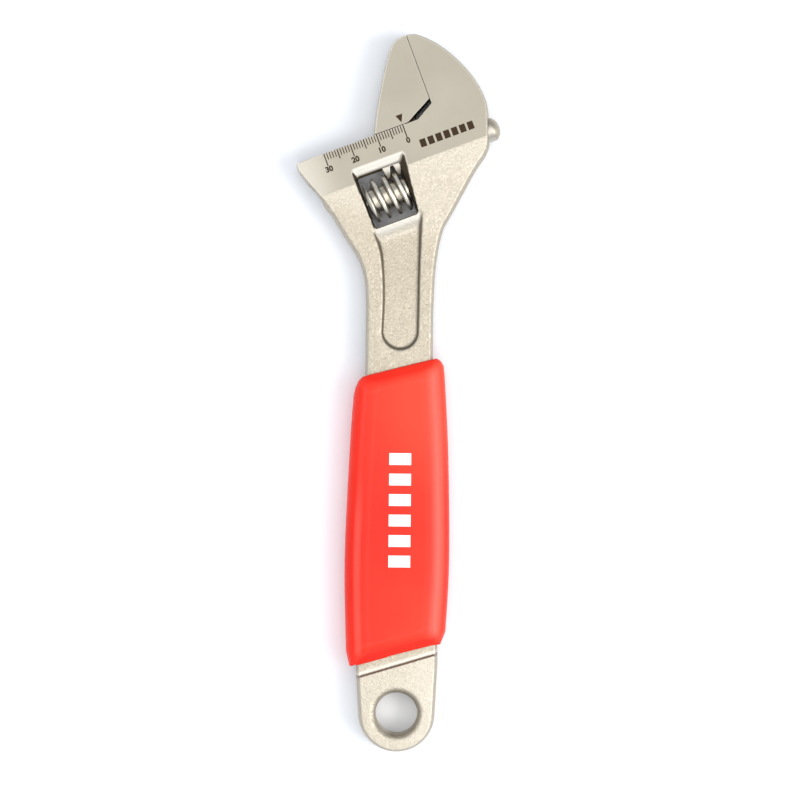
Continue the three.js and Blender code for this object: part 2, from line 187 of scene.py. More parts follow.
class Outline:
    """A polygon's signed distance, kept in a table and read between its points."""

    STEP, MARGIN = 0.25, 6.0
    LAST = 1.001  # keeps a reading inside the table's last cell

    def __init__(self, points):
        p = np.array(points)
        self.low = p.min(0) - self.MARGIN
        counts = np.ceil((p.max(0) + self.MARGIN - self.low) / self.STEP).astype(int) + 1
        gx = self.low[0] + self.STEP * np.arange(counts[0])
        gy = self.low[1] + self.STEP * np.arange(counts[1])
        self.table = outline_distance(*np.meshgrid(gx, gy, indexing="ij"), points)

    def __call__(self, x, y):
        u = np.clip((x - self.low[0]) / self.STEP, 0, self.table.shape[0] - self.LAST)
        v = np.clip((y - self.low[1]) / self.STEP, 0, self.table.shape[1] - self.LAST)
        i, j = u.astype(int), v.astype(int)
        a, b = u - i, v - j
        t = self.table
        near = t[i, j] * (1 - a) + t[i + 1, j] * a
        far = t[i, j + 1] * (1 - a) + t[i + 1, j + 1] * a
        return near * (1 - b) + far * b


def body_outline():
    """The forging's outer edge. Above the slide edge it runs wide, since the jaws' side is cut later."""
    left = [from_head(-41.6, 5), from_head(-41.2, -2), from_head(-40.5, -5.1), from_head(-37.9, -13.3)]
    left += [from_head(-35.3, -22), from_head(-33.3, -31.2), (-15.1, 162), (-12.9, 155), (-12.3, 146)]
    right = [(11.85, 138), (11.9, 146), (12.6, 160), (14.8, 172.2), from_head(5.6, -35.8)]
    right += [from_head(17.9, -25.1), from_head(26.2, -18.2), from_head(30, -7.7), from_head(31.1, -1)]
    right += [from_head(30, 6.7), from_head(27.1, 14.3), from_head(22.5, 22.2), from_head(16.8, 28.2)]
    right += [from_head(13.4, 29.75), from_head(10, 30.2)]
    points = left[:1] + spline(left)
    points += [(-12.3, 128), (-14.9, 18), (-EYE_RADIUS, EYE_CENTRE)]
    points += arc(0, EYE_CENTRE, EYE_RADIUS, 180, 360, 40)[1:]
    points += [(14.6, 18), (11.85, 128)]
    points += right[:1] + spline(right) + [from_head(-30, 30)]
    return points


def panel_outline():
    """The recessed panel: a round foot, and sides that spread towards the worm window."""
    points = arc(0, PANEL_FOOT, PANEL_END, 180, 360, 24)
    points += spline([(PANEL_END, PANEL_FOOT), (6.95, 155), (7.15, 178), from_head(-5.6, -31)])
    left = [from_head(-22, -31), (-9.5, 172), (-7.2, 164), (-6.35, 150), (-PANEL_END, PANEL_FOOT)]
    return points + spline(left)


def jaw_outline():
    """The movable jaw's rounded back, in the head plan. Its face and foot run wide and are cut later."""
    curve = [(13, 29.9), (10.3, 29.85), (8.2, 29.55), (5.1, 27.4), (1.5, 22.5), (-3.6, 14.3), (-7.7, 7.2)]
    return [(13, -2)] + curve[:1] + spline(curve + [(-11.1, 0.3)]) + [(-12.1, -2)]


def grip_outline():
    """The sleeve seen from above, with its slanted ends and cut corners."""
    right = [(17.3, 29.4), (18.4, 55), (17.7, 93.3), (16.1, 121.6)]
    left = [(-16.4, 113.8), (-17.6, 95.3), (-19.1, 55), (-18.3, 22)]
    points = [(-17, 16.8), (-13.7, 17), (10.9, 23.8), (15.2, 24.4)]
    points += right[:1] + spline(right)
    points += [(15.7, 124.6), (14.6, 126.3), (13.2, 127.1), (11.4, 127.1)]
    points += [(-11.2, 121.5), (-13.2, 120.5), (-14.8, 118.7), (-15.8, 116.4)]
    return points + left[:1] + spline(left)


def grip_sides():
    """The same sides, run on past both ends."""
    right = [(17.3, 8), (17.3, 29.4), (18.4, 55), (17.7, 93.3), (16.1, 121.6), (15.2, 136)]
    left = [(-14.6, 136), (-16.4, 113.8), (-17.6, 95.3), (-19.1, 55), (-18.3, 22), (-17.6, 8)]
    return right[:1] + spline(right) + left[:1] + spline(left)


BODY_EDGE = Outline(body_outline())
PANEL_EDGE = Outline(panel_outline())
JAW_EDGE = Outline(jaw_outline())
GRIP_EDGE = Outline(grip_outline())
GRIP_SIDES = Outline(grip_sides())


# ---------------------------------------------------------------- fields

def meet(a, b, r):
    """The common part of two solids, with the edge between them rounded to radius r."""
    return np.minimum(-r, np.maximum(a, b)) + np.hypot(np.maximum(r + a, 0), np.maximum(r + b, 0))


def join(a, b, r):
    """Two solids as one, with a fillet of radius r between them."""
    return np.maximum(r, np.minimum(a, b)) - np.hypot(np.maximum(r - a, 0), np.maximum(r - b, 0))


def cut(a, b, r):
    """The first solid without the second, with the edge rounded to radius r."""
    return meet(a, -b, r)


def incline(distance, height, slope):
    """Signed distance to a plane that rises by slope for each millimetre further in."""
    return (slope * distance + height) / math.hypot(1, slope)


def ramp(v, start, end):
    """0 before start, 1 after end, smooth between."""
    t = np.clip((v - start) / (end - start), 0, 1)
    return t * t * (3 - 2 * t)


def machined_side(hx, hy):
    """The space above the slide edge and left of the fixed jaw's face."""
    throat = incline(hx - THROAT_START, -hy, THROAT_SLOPE)
    return np.maximum(np.maximum(hx - JAW_FACE, -hy), throat)


def window_field(hx, hy, az):
    """The worm window, straight inside and opening out towards both faces."""
    flare = np.clip(az - FLARE_START, 0, None) / FLARE_HEIGHT
    left = WINDOW_LEFT - FLARE_LEFT * flare - hx
    right = hx - WINDOW_RIGHT - flare * (FLARE_RIGHT + FLARE_TAPER * (hy - WINDOW_TOP))
    top = (hy - WINDOW_TOP - FLARE_TOP * flare) / 1.4  # eased, since it leans most
    bottom = WINDOW_BOTTOM - FLARE_BOTTOM * flare - hy
    return meet(meet(left, right, r=0.01), meet(top, bottom, r=0.01), r=0.9)


def body_field(x, y, z):
    """The forging, in the handle plan."""
    hx, hy = to_head(x, y)
    az = np.abs(z)
    draft = DRAFT_JAW + (DRAFT_SHANK - DRAFT_JAW) * ramp(-hy, 0, DRAFT_RUN)
    side = (BODY_EDGE(x, y) + draft * az) / np.hypot(1, draft)
    fall = ramp(-hy, -GROUND_LINE - 0.6, -GROUND_LINE + 0.6)
    skin = HEAD_HALF - fall * (SKIN_STEP + SKIN_FALL * np.clip(GROUND_LINE - hy, 0, SKIN_RUN))
    skin = np.maximum(skin, SHANK_HALF)
    eye = meet(az - EYE_HALF, above_step(x, y) / math.hypot(1, STEP_LEAN), r=0.5)
    d = meet(side, join(az - skin, eye, r=0.5), r=0.6)
    # The recessed panel, whose floor climbs to the window's sill.
    panel = (PANEL_EDGE(x, y) - PANEL_DRAFT * (az - SHANK_HALF)) / math.hypot(1, PANEL_DRAFT)
    panel_floor = PANEL_HALF + SILL_RISE * (1 - ramp(WINDOW_BOTTOM - hy, SILL_START, SILL_END))
    d = cut(d, meet(panel, panel_floor - az, r=0.5), r=0.45)
    # The blunted tip, the jaws' side, and the channel that holds the rail and lets the neck through.
    d = meet(d, TIP_AIM[0] * hx + TIP_AIM[1] * hy - TIP_REACH, r=0.8)
    d = cut(d, machined_side(hx, hy), r=0.12)
    round_channel = np.hypot(hy - RAIL_AXIS, z) - (RAIL_RADIUS + GAP)
    slot = np.maximum(np.maximum(az - (NECK_HALF + GAP), hx - (NECK_RIGHT + GAP)), RAIL_AXIS - hy)
    d = cut(d, np.minimum(round_channel, slot), r=0.22)
    d = cut(d, window_field(hx, hy, az), r=0.25)
    pin_hole = np.maximum(np.hypot(hy - WORM_AXIS, z) - (PIN_RADIUS + GAP), hx - PIN_RIGHT)
    d = cut(d, pin_hole, r=0.15)
    return cut(d, np.hypot(x, y) - HANG_HOLE, r=HOLE_RIM)


def rack_grooves(hx, hy, z):
    """The leaning grooves in the rail's lower side that take the worm's thread."""
    across = hx - RACK_LEAD * z - RACK_FIRST
    last = math.floor((RACK_END - RACK_FIRST) / PITCH)
    across -= PITCH * np.clip(np.round(across / PITCH), 0, last)
    depth = hy - (RAIL_AXIS - RAIL_RADIUS)
    half = (PITCH - RACK_TIP) / 2 - depth * RACK_FLANK
    return meet((np.abs(across) - half) / math.hypot(1, RACK_FLANK), depth - RACK_DEPTH, r=0.25)


def jaw_field(hx, hy, z):
    """The movable jaw, in the head plan."""
    az = np.abs(z)
    side = (JAW_EDGE(hx, hy) + JAW_DRAFT * az) / math.hypot(1, JAW_DRAFT)
    heel = incline(hx - HEEL_START, SEATED - hy, HEEL_SLOPE)
    fitted = np.maximum(np.maximum(hx - JAW_FACE + CLOSE, SEATED - hy), heel)
    jaw = meet(meet(side, az - HEAD_HALF, r=0.4), fitted, r=0.12)
    neck_sides = np.maximum(NECK_LEFT - hx, hx - NECK_RIGHT)
    neck_ends = np.maximum(RAIL_AXIS - hy, hy - NECK_TOP)
    neck = meet(np.maximum(neck_sides, neck_ends), az - NECK_HALF, r=0.3)
    radius = np.hypot(hy - RAIL_AXIS, z)
    past_dome = np.clip(hx - (RAIL_RIGHT - RAIL_DOME), 0, None)
    dome = RAIL_DOME * (np.hypot(past_dome / RAIL_DOME, radius / RAIL_RADIUS) - 1)
    rail = meet(np.maximum(radius - RAIL_RADIUS, dome), RAIL_LEFT - hx, r=0.25)
    rail = cut(rail, rack_grooves(hx, hy, z), r=0.2)
    return join(join(jaw, neck, r=0.1), rail, r=0.3)


def worm_field(x, y, z):
    """The worm, with x along its axis in the head plan and y, z across it."""
    radius = np.hypot(y, z)
    angle = np.arctan2(z, y)
    along = x - RACK_FIRST - PITCH * angle / (2 * math.pi)
    along -= PITCH * np.round(along / PITCH)
    half = THREAD_CREST / 2 + (WORM_RADIUS - radius) * THREAD_FLANK
    thread = meet((np.abs(along) - half) / math.hypot(1, THREAD_FLANK), radius - WORM_RADIUS, r=0.3)
    d = join(thread, radius - WORM_CORE, r=0.35)
    ends = np.abs(x - (WORM_LEFT + WORM_RIGHT) / 2) - (WORM_RIGHT - WORM_LEFT) / 2
    cone = (ends + radius - (WORM_RADIUS - WORM_CHAMFER)) / math.sqrt(2)
    d = meet(meet(d, ends, r=0.2), cone, r=0.2)
    d = cut(d, radius - (PIN_RADIUS + GAP), r=0.15)
    return cut(d, np.maximum(radius - POCKET_RADIUS, x - (WORM_LEFT + POCKET_DEPTH)), r=0.2)


def pin_field(x, y, z):
    """The pin, along the worm's axis, with a driver slot across its left end."""
    d = meet(np.hypot(y, z) - PIN_RADIUS, np.maximum(PIN_LEFT - x, x - PIN_RIGHT), r=0.25)
    return cut(d, np.maximum(np.abs(z) - SLOT_HALF, x - PIN_LEFT - SLOT_DEPTH), r=0.08)


def grip_field(x, y, z):
    """A sleeve with a rounded side, a narrow upper bevel, long slopes at its ends and a flat face."""
    az = np.abs(z)
    edge, side = GRIP_EDGE(x, y), GRIP_SIDES(x, y)
    flank = incline(side, az - FLANK_FOOT, FLANK_RISE)
    shoulder = incline(side, az - SHOULDER_FOOT, SHOULDER_RISE)
    above_bottom, below_top = inside_grip(x, y)
    past_top = -below_top / math.hypot(1, TOP_LEAN)
    past_bottom = -above_bottom / math.hypot(1, BOTTOM_LEAN)
    end = incline(np.maximum(past_top, past_bottom), az - GRIP_HALF + END_FALL * END_RUN, END_FALL)
    d = meet(meet(edge, flank, r=1.2), shoulder, r=1.1)
    d = meet(meet(d, end, r=1.2), az - GRIP_HALF, r=0.9)
    half = BORE_HALF + (BORE_AT - y) * BORE_TAPER
    return cut(d, meet(np.abs(x - BORE_AXIS) - half, az - (SHANK_HALF + GAP), r=0.5), r=0.5)


# ---------------------------------------------------------------- meshing

CORNERS = [(i, j, k) for i in (0, 1) for j in (0, 1) for k in (0, 1)]
CELL_EDGES = [(0, 1), (2, 3), (4, 5), (6, 7), (0, 2), (1, 3)]
CELL_EDGES += [(4, 6), (5, 7), (0, 4), (1, 5), (2, 6), (3, 7)]

# Vertices are pulled onto the surface in FIT_STEPS moves, each up to FIT_LIMIT millimetres. FIT_REACH
# and NORMAL_REACH are the distances over which the field's slope is measured for that and for normals.
FIT_STEPS, FIT_REACH, FIT_LIMIT, FIT_LEAST_SLOPE = 3, 0.04, 0.25, 0.2
NORMAL_REACH = 0.12
EDGE_SCALE = 0.35  # an edge's value for each unit of the field's summed curvature
CRISP_DEPTH, CRISP_LEAN = 0.14, 0.4  # how far over a rounded edge a flat face keeps its shading


def grid_straight(x_range, y_range, z_range, step, lean=0.0):
    """A grid whose rows across x climb by lean."""
    axes = [np.arange(a, b + step, step) for a, b in (x_range, y_range, z_range)]
    grid = np.stack(np.meshgrid(*axes, indexing="ij"), -1)
    grid[..., 1] += lean * grid[..., 0]
    return grid


def grid_bent(u_range, z_range, step):
    """The body's grid: its rows lie across the handle, then turn with the neck to lie across the head."""
    foot, grip_from, grip_to, bend_start = -15, 28, 117, 140
    grip_step = 4.0  # the shank is plain inside the grip
    head_column, head_row, head_top = -18.9, -31.0, 31.2
    stretches = [(foot, grip_from, step), (grip_from, grip_to, grip_step), (grip_to, bend_start, step)]
    rows = [(0.0, y, 0.0) for stretch in stretches for y in np.arange(*stretch)]
    start, end = np.array([0.0, bend_start]), np.array(from_head(head_column, head_row))
    reach = float(np.linalg.norm(end - start))
    out_of_handle, into_head = reach * np.array([0.0, 1.0]), reach * np.array([-SIN, COS])
    for t in np.arange(0, 1, step * 1.05 / reach):
        turned = 3 * t**2 - 2 * t**3
        point = (1 - turned) * start + turned * end
        point += (t**3 - 2 * t**2 + t) * out_of_handle + (t**3 - t**2) * into_head
        rows.append((point[0], point[1], TURN * turned))
    rows += [(*from_head(head_column, hy), TURN) for hy in np.arange(head_row, head_top, step)]
    rows = np.array(rows)
    u = np.arange(u_range[0], u_range[1] + step, step)
    z = np.arange(z_range[0], z_range[1] + step, step)
    grid = np.empty((len(u), len(rows), len(z), 3))
    grid[..., 0] = (rows[:, 0] + u[:, None] * np.cos(rows[:, 2]))[:, :, None]
    grid[..., 1] = (rows[:, 1] + u[:, None] * np.sin(rows[:, 2]))[:, :, None]
    grid[..., 2] = z
    return grid


def surface(field, grid):
    """Vertices and quads where the field changes sign, with a vertex in each cell that it crosses."""
    value = field(grid[..., 0], grid[..., 1], grid[..., 2])
    inside = value < 0
    n = np.array(value.shape) - 1
    count = sum(inside[i : i + n[0], j : j + n[1], k : k + n[2]].astype(int) for i, j, k in CORNERS)
    active = (count > 0) & (count < 8)
    index = np.full(active.shape, -1)
    index[active] = np.arange(active.sum())
    ci, cj, ck = np.nonzero(active)
    corner_value = [value[ci + i, cj + j, ck + k] for i, j, k in CORNERS]
    corner_point = [grid[ci + i, cj + j, ck + k] for i, j, k in CORNERS]
    total, hits = np.zeros((len(ci), 3)), np.zeros(len(ci))
    for a, b in CELL_EDGES:
        va, vb = corner_value[a], corner_value[b]
        crosses = (va < 0) != (vb < 0)
        t = np.where(crosses, va / np.where(crosses, va - vb, 1), 0)[:, None]
        total += np.where(crosses[:, None], corner_point[a] * (1 - t) + corner_point[b] * t, 0)
        hits += crosses
    points = total / hits[:, None]
    quads = []
    for axis in range(3):
        here = [slice(1, n[0]), slice(1, n[1]), slice(1, n[2])]
        here[axis] = slice(0, n[axis])
        ahead = list(here)
        ahead[axis] = slice(1, n[axis] + 1)
        a, b = inside[tuple(here)], inside[tuple(ahead)]
        for out in (False, True):
            i, j, k = np.nonzero((a != b) & (a == out))
            base = [i + here[0].start, j + here[1].start, k + here[2].start]
            p, q = [m for m in range(3) if m != axis]
            ring = []
            for dp, dq in ((-1, -1), (0, -1), (0, 0), (-1, 0)):
                cell = [v.copy() for v in base]
                cell[p] += dp
                cell[q] += dq
                ring.append(index[tuple(cell)])
            if (axis == 1) == out:
                ring.reverse()
            quads.append(np.stack(ring, -1))
    return points, np.vstack(quads)


def gradient(field, points, reach):
    """The field, its slope and its sum of curvatures at each point."""
    x, y, z = points.T
    centre = field(x, y, z)
    slope, bend = np.empty_like(points), -6 * centre
    for axis in range(3):
        shift = [np.zeros(1)] * 3
        shift[axis] = np.array([reach])
        ahead = field(x + shift[0], y + shift[1], z + shift[2])
        behind = field(x - shift[0], y - shift[1], z - shift[2])
        slope[:, axis] = (ahead - behind) / (2 * reach)
        bend += ahead + behind
    return centre, slope, bend / reach**2


def shape(name, field, grid, to_row, material, attributes=None, crisp=None):
    """A smooth mesh object of the field's surface, with the named values kept at its vertices.

    Flat faces at heights -crisp and crisp keep their shading right up to their edges.
    """
    points, quads = surface(field, grid)
    for _ in range(FIT_STEPS):
        centre, slope, _bend = gradient(field, points, FIT_REACH)
        move = centre / np.maximum((slope**2).sum(1), FIT_LEAST_SLOPE)
        points -= np.clip(move, -FIT_LIMIT, FIT_LIMIT)[:, None] * slope
    _centre, slope, bend = gradient(field, points, NORMAL_REACH)
    normals = slope / np.linalg.norm(slope, axis=1)[:, None]
    values = attributes(points, normals) if attributes else {}
    values["edge"] = np.clip(bend * EDGE_SCALE, -1, 1)
    if crisp:
        flat = (np.abs(points[:, 2]) > crisp - CRISP_DEPTH) & (np.abs(normals[:, 2]) > CRISP_LEAN)
        normals[flat] = np.sign(points[flat, 2:]) * [0, 0, 1]
    matrix = np.array(to_row)
    placed = points @ matrix[:3, :3].T + matrix[:3, 3]
    mesh = bpy.data.meshes.new(name)
    mesh.vertices.add(len(placed))
    mesh.vertices.foreach_set("co", placed.astype(np.float32).ravel())
    mesh.loops.add(quads.size)
    mesh.loops.foreach_set("vertex_index", quads.astype(np.int32).ravel())
    mesh.polygons.add(len(quads))
    mesh.polygons.foreach_set("loop_start", np.arange(0, quads.size, 4, dtype=np.int32))
    mesh.update(calc_edges=True)
    mesh.validate()
    mesh.polygons.foreach_set("use_smooth", np.ones(len(mesh.polygons), bool))
    turned = normals @ (matrix[:3, :3] / MM).T
    mesh.normals_split_custom_set_from_vertices(turned.astype(np.float32))
    for key, value in values.items():
        layer = mesh.attributes.new(key, "FLOAT", "POINT")
        layer.data.foreach_set("value", value.astype(np.float32))
    mesh.materials.append(material)
    return show(name, mesh)


def show(name, data):
    """An object in the scene for a mesh, curve, light or camera."""
    obj = bpy.data.objects.new(name, data)
    bpy.context.scene.collection.objects.link(obj)
    return obj


def to_mesh(curve):
    """A curve or text as a mesh."""
    obj = show(curve.name, curve)
    bpy.context.view_layer.update()
    mesh = bpy.data.meshes.new_from_object(obj.evaluated_get(bpy.context.evaluated_depsgraph_get()))
    bpy.data.objects.remove(obj)
    mesh.materials.clear()
    return mesh


def place(origin, x_axis=Vector((1, 0, 0))):
    """The matrix from a plan in millimetres to the row frame in metres."""
    z_axis = Vector((0, 0, 1))
    y_axis = z_axis.cross(x_axis)
    turn = Matrix((x_axis, y_axis, z_axis)).transposed().to_4x4()
    return Matrix.Translation(origin * MM) @ turn @ Matrix.Diagonal((MM, MM, MM, 1))


HANDLE = place(HANDLE_AT)
HEAD = place(HEAD_ROW, HEAD_X)
WORM = place(worm_point, HEAD_X)


# ---------------------------------------------------------------- materials

class Nodes:
    """Short calls for building a material's node tree. Sizes are in metres, colours linear."""

    def __init__(self, name, slot_colour):
        self.material = bpy.data.materials.new(name)
        self.material.use_nodes = True
        self.material.diffuse_color = (*slot_colour, 1)
        self.tree = self.material.node_tree
        self.shader = self.tree.nodes["Principled BSDF"]
        self.coordinates = self.tree.nodes.new("ShaderNodeTexCoord").outputs["Object"]

    def set(self, node, key, value):
        """Links a socket to an input, or sets the input's own value."""
        if isinstance(value, bpy.types.NodeSocket):
            self.tree.links.new(value, node.inputs[key])
        else:
            node.inputs[key].default_value = value

    def add(self, kind, **inputs):
        """A new node with the given inputs."""
        node = self.tree.nodes.new(kind)
        for key, value in inputs.items():
            self.set(node, key, value)
        return node

    def noise(self, size, detail=3.0, roughness=0.5):
        """Noise whose features are about size across."""
        return self.add("ShaderNodeTexNoise", Vector=self.coordinates, Scale=1 / size, Detail=detail,
                        Roughness=roughness).outputs["Fac"]

    def levels(self, value, low, high, to_low=0.0, to_high=1.0):
        """The value stretched so that low and high become to_low and to_high, and held there beyond."""
        node = self.add("ShaderNodeMapRange")
        for i, v in enumerate((value, low, high, to_low, to_high)):
            self.set(node, i, v)
        return node.outputs[0]

    def math(self, operation, a, b):
        """Two numbers combined."""
        node = self.add("ShaderNodeMath")
        node.operation = operation
        self.set(node, 0, a)
        self.set(node, 1, b)
        return node.outputs[0]

    def mix(self, factor, a, b):
        """Two colours mixed."""
        node = self.add("ShaderNodeMix")
        node.data_type = "RGBA"
        for socket, value in ((0, factor), (6, a), (7, b)):
            self.set(node, socket, (*value, 1) if isinstance(value, tuple) else value)
        return node.outputs[2]

    def mix_value(self, factor, a, b):
        """Two numbers mixed."""
        node = self.add("ShaderNodeMix")
        for socket, value in ((0, factor), (2, a), (3, b)):
            self.set(node, socket, value)
        return node.outputs[0]

    def attribute(self, name):
        """A value kept at the mesh's vertices."""
        node = self.add("ShaderNodeAttribute")
        node.attribute_name = name
        return node.outputs["Fac"]

    def bump(self, height, depth, strength):
        """A normal that follows the height, over a relief of the given depth."""
        return self.add("ShaderNodeBump", Height=height, Distance=depth, Strength=strength).outputs[0]

    def finish(self, **inputs):
        """Sets the shader's inputs and returns the material."""
        for key, value in inputs.items():
            self.set(self.shader, key.replace("_", " "), value)
        return self.material


def forged_nickel():
    """Satin nickel over a fine-grained forged skin, with the smooth ground faces where 'ground' is 1,
    painted highlights on lit slopes and edges, and painted shade in recesses.
    """
    skin_dim, skin_lit = (0.465, 0.412, 0.325), (0.49, 0.438, 0.35)
    pit, glint = (0.34, 0.295, 0.225), (0.76, 0.71, 0.62)
    face_dim, face_lit = (0.326, 0.297, 0.243), (0.354, 0.325, 0.267)
    highlight_colour, worn = (0.95, 0.915, 0.84), (0.80, 0.77, 0.71)
    crease_shade, shade_colour = (0.20, 0.165, 0.125), (0.055, 0.038, 0.022)
    skin_depth, face_depth = 0.00016, 0.000012
    n = Nodes("forged_nickel", (0.62, 0.56, 0.46))
    ground, edge = n.attribute("ground"), n.attribute("edge")
    painted_shade, painted_highlight = n.attribute("painted_shade"), n.attribute("painted_highlight")
    cloud, grain, lumps = n.noise(0.02, 2), n.noise(0.0007, 4, 0.6), n.noise(0.0014, 3, 0.55)
    fine = n.noise(0.00025, 2)
    skin = n.mix(n.levels(cloud, 0.35, 0.65), skin_dim, skin_lit)
    skin = n.mix(n.levels(grain, 0.5, 0.7, 0.0, 0.5), skin, pit)
    skin = n.mix(n.levels(grain, 0.45, 0.30, 0.0, 0.45), skin, glint)
    face = n.mix(n.levels(cloud, 0.3, 0.7), face_dim, face_lit)
    colour = n.mix(ground, skin, face)
    # Painted highlight: near-white on the window's top slope, the sill and step lips, the hole's left
    # rim, the slide edge and the skin below the ground line.
    colour = n.mix(n.math("MULTIPLY", painted_highlight, 0.8), colour, highlight_colour)
    # Lighter convex edges: wear on the nickel, and a painted highlight along them.
    colour = n.mix(n.levels(edge, 0.15, 0.9, 0.0, 0.35), colour, worn)
    # Painted shade in concave creases.
    colour = n.mix(n.levels(edge, -0.1, -0.8, 0.0, 0.5), colour, crease_shade)
    # Painted shade: a near-black brown over the window's walls, the throat, the panels' and step's walls,
    # the hole's rim and the outer walls.
    colour = n.mix(n.math("MULTIPLY", painted_shade, 0.96), colour, shade_colour)
    skin_rough, face_rough = n.levels(lumps, 0.3, 0.7, 0.44, 0.56), n.levels(fine, 0.3, 0.7, 0.38, 0.46)
    rough = n.mix_value(ground, skin_rough, face_rough)
    smooth = n.math("MAXIMUM", ground, n.math("MULTIPLY", painted_highlight, 0.75))
    depth = n.mix_value(smooth, skin_depth, face_depth)
    normal = n.bump(n.math("ADD", grain, lumps), depth, 0.9)
    return n.finish(Base_Color=colour, Metallic=0.9, Roughness=rough, Normal=normal)


def plain_metal(name, dark, light, rough, grain_size, depth):
    """A turned or ground metal with fine grain, lighter edges, and painted shade in its creases and at
    the vertices marked for it.
    """
    worn, shade_colour = (0.95, 0.93, 0.88), (0.12, 0.10, 0.075)
    n = Nodes(name, light)
    edge = n.attribute("edge")
    cloud, grain = n.noise(0.009, 3), n.noise(grain_size, 3, 0.55)
    colour = n.mix(n.levels(cloud, 0.3, 0.7), dark, light)
    # Painted shade where the vertices mark it: the worm's thread roots.
    colour = n.mix(n.math("MULTIPLY", n.attribute("painted_shade"), 0.15), colour, shade_colour)
    colour = n.mix(n.levels(edge, 0.12, 0.6, 0.0, 0.5), colour, worn)
    # Painted shade in concave creases.
    colour = n.mix(n.levels(edge, -0.1, -0.8, 0.0, 0.75), colour, shade_colour)
    rough = n.levels(grain, 0.3, 0.7, rough - 0.05, rough + 0.07)
    return n.finish(Base_Color=colour, Metallic=0.95, Roughness=rough, Normal=n.bump(grain, depth, 0.8))


def red_vinyl():
    """Soft satin vinyl with a fine moulded grain, paler along its edges, with a painted highlight on the
    bevels at its sides and painted shade on the slopes at its ends.
    """
    red_dim, red_lit, red_paler = (0.82, 0.014, 0.003), (0.90, 0.024, 0.007), (0.92, 0.050, 0.020)
    red_end_shade, red_edge, red_highlight = (0.74, 0.009, 0.002), (0.95, 0.11, 0.08), (1.0, 0.12, 0.085)
    n = Nodes("red_vinyl", (0.85, 0.05, 0.03))
    edge = n.attribute("edge")
    cloud, waves, pores = n.noise(0.03, 2), n.noise(0.012, 2), n.noise(0.0007, 3, 0.6)
    across, along, _up = n.add("ShaderNodeSeparateXYZ", Vector=n.coordinates).outputs
    # The vinyl is paler near its upper end, less so at its foot, and more on the right.
    to_top, to_foot = n.levels(along, -0.038, -0.008), n.levels(along, -0.055, -0.09, 0.0, 0.45)
    to_right = n.levels(across, -0.014, 0.009, 0.1, 1.2)
    paler_mask = n.math("MULTIPLY", n.math("ADD", to_top, to_foot), to_right)
    colour = n.mix(n.levels(cloud, 0.35, 0.65), red_dim, red_lit)
    colour = n.mix(paler_mask, colour, red_paler)
    # Painted shade on the slopes at the grip's ends.
    colour = n.mix(n.math("MULTIPLY", n.attribute("slope"), 0.65), colour, red_end_shade)
    colour = n.mix(n.levels(edge, 0.05, 0.5, 0.0, 0.15), colour, red_edge)
    # Painted highlight on the side bevels.
    colour = n.mix(n.math("MULTIPLY", n.attribute("side_highlight"), 0.75), colour, red_highlight)
    height = n.math("ADD", pores, n.math("MULTIPLY", waves, 9.0))
    rough = n.levels(pores, 0.3, 0.7, 0.36, 0.46)
    return n.finish(Base_Color=colour, Roughness=rough, Normal=n.bump(height, 0.00005, 0.7),
                    Specular_IOR_Level=0.27, Subsurface_Weight=0.06,
                    Subsurface_Radius=(0.003, 0.0008, 0.0005))


def ink(name, colour, specular):
    """Printed ink, a little uneven, with the grain below showing through its edges."""
    n = Nodes(name, colour)
    grain = n.noise(0.0004, 3, 0.6)
    worn = tuple(min(1.0, c * 1.2 + 0.008) for c in colour)
    colour = n.mix(n.levels(grain, 0.35, 0.7), colour, worn)
    rough = n.levels(grain, 0.3, 0.7, 0.45, 0.6)
    return n.finish(Base_Color=colour, Roughness=rough, Specular_IOR_Level=specular)


# ---------------------------------------------------------------- values kept at the vertices

def within(v, low, high, soft_low, soft_high):
    """1 between low and high, fading to 0 at each over its soft width."""
    return ramp(v, low, low + soft_low) * ramp(-v, -high, soft_high - high)


def strongest(*layers):
    """At each point, the highest of several masks, each times its weight."""
    return np.maximum.reduce([weight * mask for weight, mask in layers])


def near_faces(z, soft=0.25):
    """1 on and beside the head's flat faces."""
    return ramp(np.abs(z), HEAD_HALF - 0.5, HEAD_HALF - 0.5 + soft)


def steepness(normals):
    """0 on level ground, 1 on walls."""
    return 1 - ramp(np.abs(normals[:, 2]), 0.5, 0.96)


